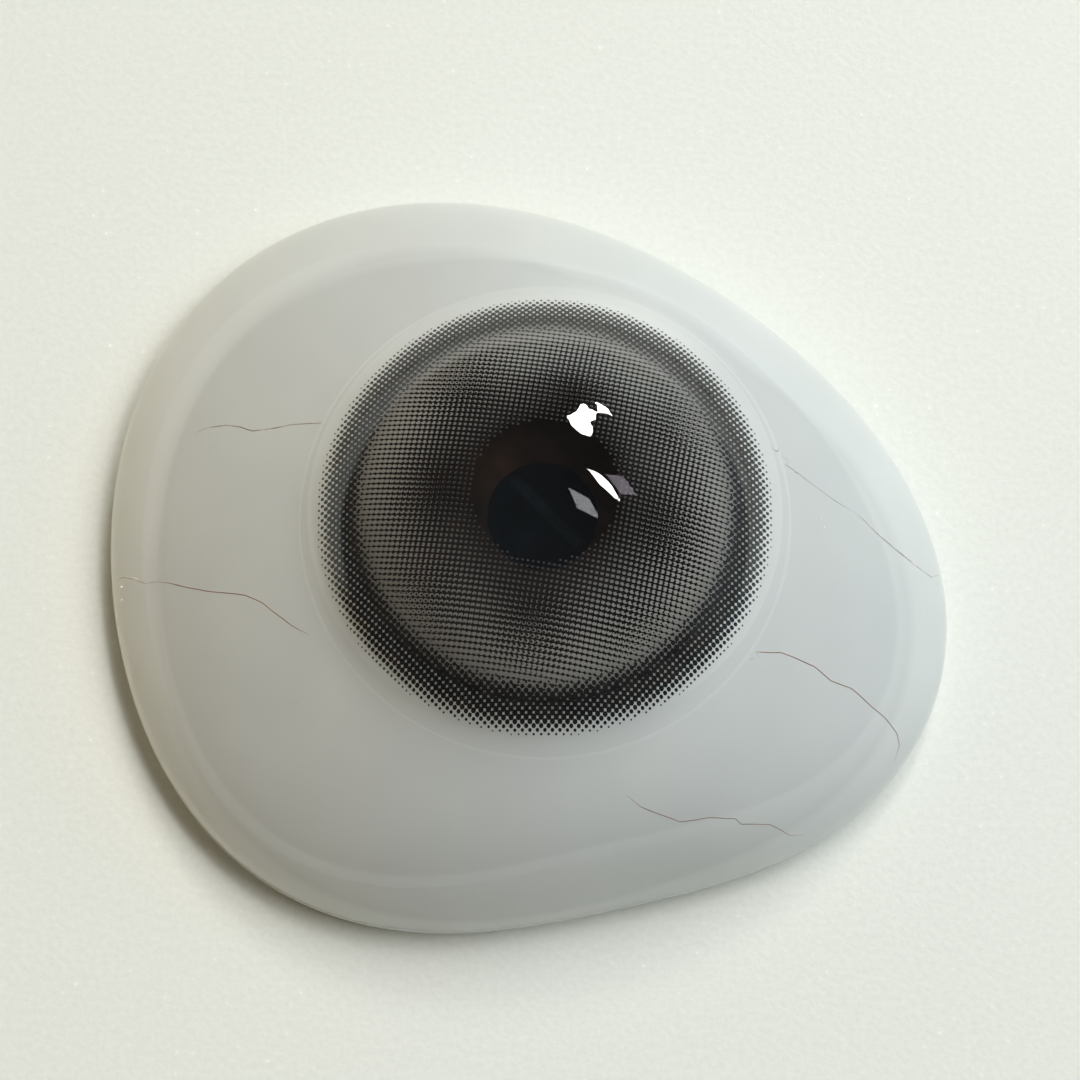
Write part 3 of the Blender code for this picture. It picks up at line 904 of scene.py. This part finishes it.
CAMERA_TARGET = Vector((0.382, -0.246, 4.0)) * MM
CAMERA_ELEVATION = 73.72
CAMERA_DISTANCE = 120 * MM
CAMERA_LENS = 137.1
LAMP_DISTANCE = 0.6
TABLE_RADIUS = 0.48

# Outlines of the lamps as the dome mirrors them: azimuth from +X and elevation, in degrees
WINDOW_OUTLINE = (
    (80.2, 44.0), (76.7, 41.1), (76.0, 37.3), (73.9, 36.9), (72.3, 38.5), (69.4, 38.4),
    (68.5, 41.8), (70.1, 43.8), (66.9, 46.2), (66.8, 49.4), (71.5, 49.8), (77.1, 47.4),
)
CRESCENT_OUTLINE = (
    (71.2, 34.6), (67.2, 34.7), (63.0, 37.2), (65.4, 37.3), (68.3, 37.4), (69.3, 39.0), (69.6, 37.9),
    (69.3, 36.7),
)
TUBE_OUTLINE = ((57.4, 61.3), (49.0, 60.1), (40.1, 59.7), (24.8, 59.8), (29.8, 61.4), (42.0, 62.9))
SCREEN_OUTLINE = ((46.0, 58.5), (38.3, 54.0), (25.7, 53.3), (29.8, 58.5))
PUPIL_MIRROR_OUTLINE = ((104.2, 76.5), (113.9, 73.9), (115.2, 70.2), (106.4, 73.1))
PUPIL_GLINT_OUTLINE = ((108.6, 73.9), (108.0, 73.5), (106.5, 73.3), (107.2, 73.9))
PUPIL_STREAK_OUTLINE = ((64.9, 77.0), (71.2, 77.9), (105.8, 67.8), (101.1, 67.3))


def stage_object(name, mesh, material):
    """Make a bmesh into an object that isn't part of the eye."""
    data = bpy.data.meshes.new(name)
    mesh.to_mesh(data)
    mesh.free()
    data.materials.append(material)
    made = bpy.data.objects.new(name, data)
    bpy.context.scene.collection.objects.link(made)
    made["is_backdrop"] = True
    return made


def make_stage(material):
    """A wide, round, pale table, which ends before the lamps."""
    mesh = bmesh.new()
    bmesh.ops.create_circle(mesh, cap_ends=True, segments=96, radius=TABLE_RADIUS)
    stage_object("table", mesh, material)


def direction_from(azimuth, elevation):
    """A unit vector, with azimuth counted from +X towards +Y."""
    flat = math.cos(math.radians(elevation))
    turned = math.radians(azimuth)
    return Vector((flat * math.cos(turned), flat * math.sin(turned), math.sin(math.radians(elevation))))


def make_camera():
    """The camera at the photograph's angle."""
    data = bpy.data.cameras.new("camera")
    data.lens = CAMERA_LENS
    data.sensor_width = 36.0
    data.clip_start = 1 * MM
    data.clip_end = 10.0
    camera = bpy.data.objects.new("camera", data)
    toward = direction_from(-90.0, CAMERA_ELEVATION)
    camera.location = CAMERA_TARGET + toward * CAMERA_DISTANCE
    camera.rotation_euler = toward.to_track_quat("Z", "Y").to_euler()
    bpy.context.scene.collection.objects.link(camera)
    bpy.context.scene.camera = camera


def make_lamp_card(name, outline, strength, colour, in_pupil=False):
    """
    A glowing card with a lamp's outline.

    The dome's surface mirrors it, or only the pupil under the dome does.
    """
    material = bpy.data.materials.new(name)
    material.use_nodes = True
    material.node_tree.nodes.remove(material.node_tree.nodes["Principled BSDF"])
    glow = add_node(material, "ShaderNodeEmission", Color=(*colour, 1.0), Strength=strength)
    join_nodes(material, glow, "Emission", material.node_tree.nodes["Material Output"], "Surface")
    mesh = bmesh.new()
    dome = AXIS + Vector((0.0, 0.0, DOME_TOP))
    corners = [mesh.verts.new(dome + direction_from(*corner) * LAMP_DISTANCE) for corner in outline]
    bmesh.ops.contextual_create(mesh, geom=corners)
    card = stage_object(name, mesh, material)
    card.visible_camera = False
    card.visible_shadow = False
    card.visible_diffuse = False
    card.visible_glossy = not in_pupil
    card.visible_transmission = in_pupil


def make_lamp_cards():
    """The lamps that show as highlights."""
    bright = 60.0
    warm_white = (1.0, 0.98, 0.94)
    make_lamp_card("window_card", WINDOW_OUTLINE, bright, warm_white)
    make_lamp_card("crescent_card", CRESCENT_OUTLINE, bright, warm_white)
    make_lamp_card("tube_card", TUBE_OUTLINE, bright, warm_white)
    make_lamp_card("screen_card", SCREEN_OUTLINE, 3.5, (0.95, 0.85, 1.0))
    make_lamp_card("pupil_mirror_card", PUPIL_MIRROR_OUTLINE, 5.5, (0.96, 1.0, 1.0), in_pupil=True)
    make_lamp_card("pupil_glint_card", PUPIL_GLINT_OUTLINE, bright, grey(1.0), in_pupil=True)
    make_lamp_card("pupil_streak_card", PUPIL_STREAK_OUTLINE, 0.10, (0.8, 0.95, 1.0), in_pupil=True)


def make_softbox(name, azimuth, elevation, width, height, radiance):
    """A broad soft lamp that faces the shell and doesn't show in its gloss."""
    data = bpy.data.lights.new(name, "AREA")
    data.shape = "RECTANGLE"
    data.size = width
    data.size_y = height
    data.energy = max(radiance) * math.pi * width * height
    data.color = [part / max(radiance) for part in radiance]
    light = bpy.data.objects.new(name, data)
    toward = direction_from(azimuth, elevation)
    light.location = AXIS + toward * LAMP_DISTANCE
    light.rotation_euler = toward.to_track_quat("Z", "Y").to_euler()
    light.visible_camera = False
    light.visible_glossy = False
    light.visible_transmission = False
    bpy.context.scene.collection.objects.link(light)


def make_softboxes():
    """A broad key light on the right with a window and a cool wall, and a warm fill low on the left."""
    for step, azimuth in enumerate((-12.0, 26.0, 64.0)):
        make_softbox(f"key_{step}", azimuth, 55.0, 0.23, 0.26, (5.85, 5.78, 5.58))
    make_softbox("window", 73.0, 43.0, 0.10, 0.10, (13.0, 12.8, 11.2))
    make_softbox("cool_wall", 15.0, 30.0, 0.50, 0.25, (0.36, 0.80, 1.22))
    for step, azimuth in enumerate((125.0, 165.0, 205.0)):
        make_softbox(f"fill_{step}", azimuth, 10.0, 0.42, 0.21, (1.60, 1.20, 0.62))


def add_glow(world, azimuth, around, height, tall, colour):
    """
    A soft patch of light on the walls of the room.

    azimuth and around are its middle and half its width in degrees, and height and tall are its middle and
    half its height as the upward part of a direction.
    """
    soft_turn = 15.0
    soft_height = 0.07
    place = add_node(world, "ShaderNodeTexCoord")
    flat = add_node(world, "ShaderNodeVectorMath", operation="MULTIPLY")
    flat.inputs[1].default_value = (1.0, 1.0, 0.0)
    level = add_node(world, "ShaderNodeVectorMath", operation="NORMALIZE")
    turned = add_node(world, "ShaderNodeVectorMath", operation="DOT_PRODUCT")
    turned.inputs[1].default_value = direction_from(azimuth, 0.0)
    beside = add_node(
        world, "ShaderNodeMapRange", interpolation_type="SMOOTHSTEP",
        From_Min=math.cos(math.radians(around + soft_turn)),
        From_Max=math.cos(math.radians(around - soft_turn)),
    )
    parts = add_node(world, "ShaderNodeSeparateXYZ")
    away = add_node(world, "ShaderNodeMath", operation="SUBTRACT")
    away.inputs[1].default_value = height
    distance = add_node(world, "ShaderNodeMath", operation="ABSOLUTE")
    above = add_node(
        world, "ShaderNodeMapRange", interpolation_type="SMOOTHSTEP",
        From_Min=tall + soft_height, From_Max=tall - soft_height,
    )
    both = add_node(world, "ShaderNodeMath", operation="MULTIPLY")
    glow = add_node(world, "ShaderNodeVectorMath", operation="SCALE")
    glow.inputs[0].default_value = colour
    join_nodes(world, place, "Generated", flat, 0)
    join_nodes(world, flat, "Vector", level, 0)
    join_nodes(world, level, "Vector", turned, 0)
    join_nodes(world, turned, "Value", beside, "Value")
    join_nodes(world, place, "Generated", parts, "Vector")
    join_nodes(world, parts, "Z", away, 0)
    join_nodes(world, away, "Value", distance, 0)
    join_nodes(world, distance, "Value", above, "Value")
    join_nodes(world, beside, "Result", both, 0)
    join_nodes(world, above, "Result", both, 1)
    join_nodes(world, both, "Value", glow, "Scale")
    return glow


def make_world():
    """A dim room with a cool wall on the right, and a low pale backdrop all round, which lights nothing."""
    world = bpy.data.worlds.new("studio")
    bpy.context.scene.world = world
    world.use_nodes = True
    wall = add_glow(world, 40.0, 62.0, 0.25, 0.18, (0.20, 0.26, 0.28))
    dim = add_node(world, "ShaderNodeVectorMath", operation="ADD")
    dim.inputs[1].default_value = grey(0.03)
    join_nodes(world, wall, "Vector", dim, 0)

    place = add_node(world, "ShaderNodeTexCoord")
    parts = add_node(world, "ShaderNodeSeparateXYZ")
    join_nodes(world, place, "Generated", parts, "Vector")
    low = ramp_node(world, parts, "Z", (0.13, (0.87, 0.90, 0.85)), (0.17, grey(0.0)))
    path = add_node(world, "ShaderNodeLightPath")
    direct = add_node(world, "ShaderNodeMath", operation="ADD")
    join_nodes(world, path, "Is Camera Ray", direct, 0)
    join_nodes(world, path, "Is Glossy Ray", direct, 1)
    seen = add_node(world, "ShaderNodeMath", operation="ADD", use_clamp=True)
    join_nodes(world, direct, "Value", seen, 0)
    join_nodes(world, path, "Is Transmission Ray", seen, 1)
    backdrop = add_node(world, "ShaderNodeVectorMath", operation="SCALE")
    join_nodes(world, low, "Color", backdrop, 0)
    join_nodes(world, seen, "Value", backdrop, "Scale")

    room = add_node(world, "ShaderNodeVectorMath", operation="ADD")
    join_nodes(world, dim, "Vector", room, 0)
    join_nodes(world, backdrop, "Vector", room, 1)
    join_nodes(world, room, "Vector", world.node_tree.nodes["Background"], "Color")


def main():
    """The camera and the room first, then the pieces from the white body outwards."""
    bpy.context.scene.view_settings.view_transform = "Standard"
    make_camera()
    make_world()
    make_stage(make_table_covering())
    make_softboxes()
    make_lamp_cards()

    make_white_core(make_white_acrylic())
    make_iris_plate(make_iris_paint())
    make_pupil_plate(make_pupil_paint())
    make_clear_coat(make_clear_acrylic())
    make_soft_lens(make_hydrogel())
    make_threads()
    make_dust_and_glints(make_dust_and_glint_white())
    make_print()


main()

visual_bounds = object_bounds()
sizes = {"cad": cad_bounds, "visual": visual_bounds}
{name: [list(corner) for corner in box] for name, box in sizes.items()}
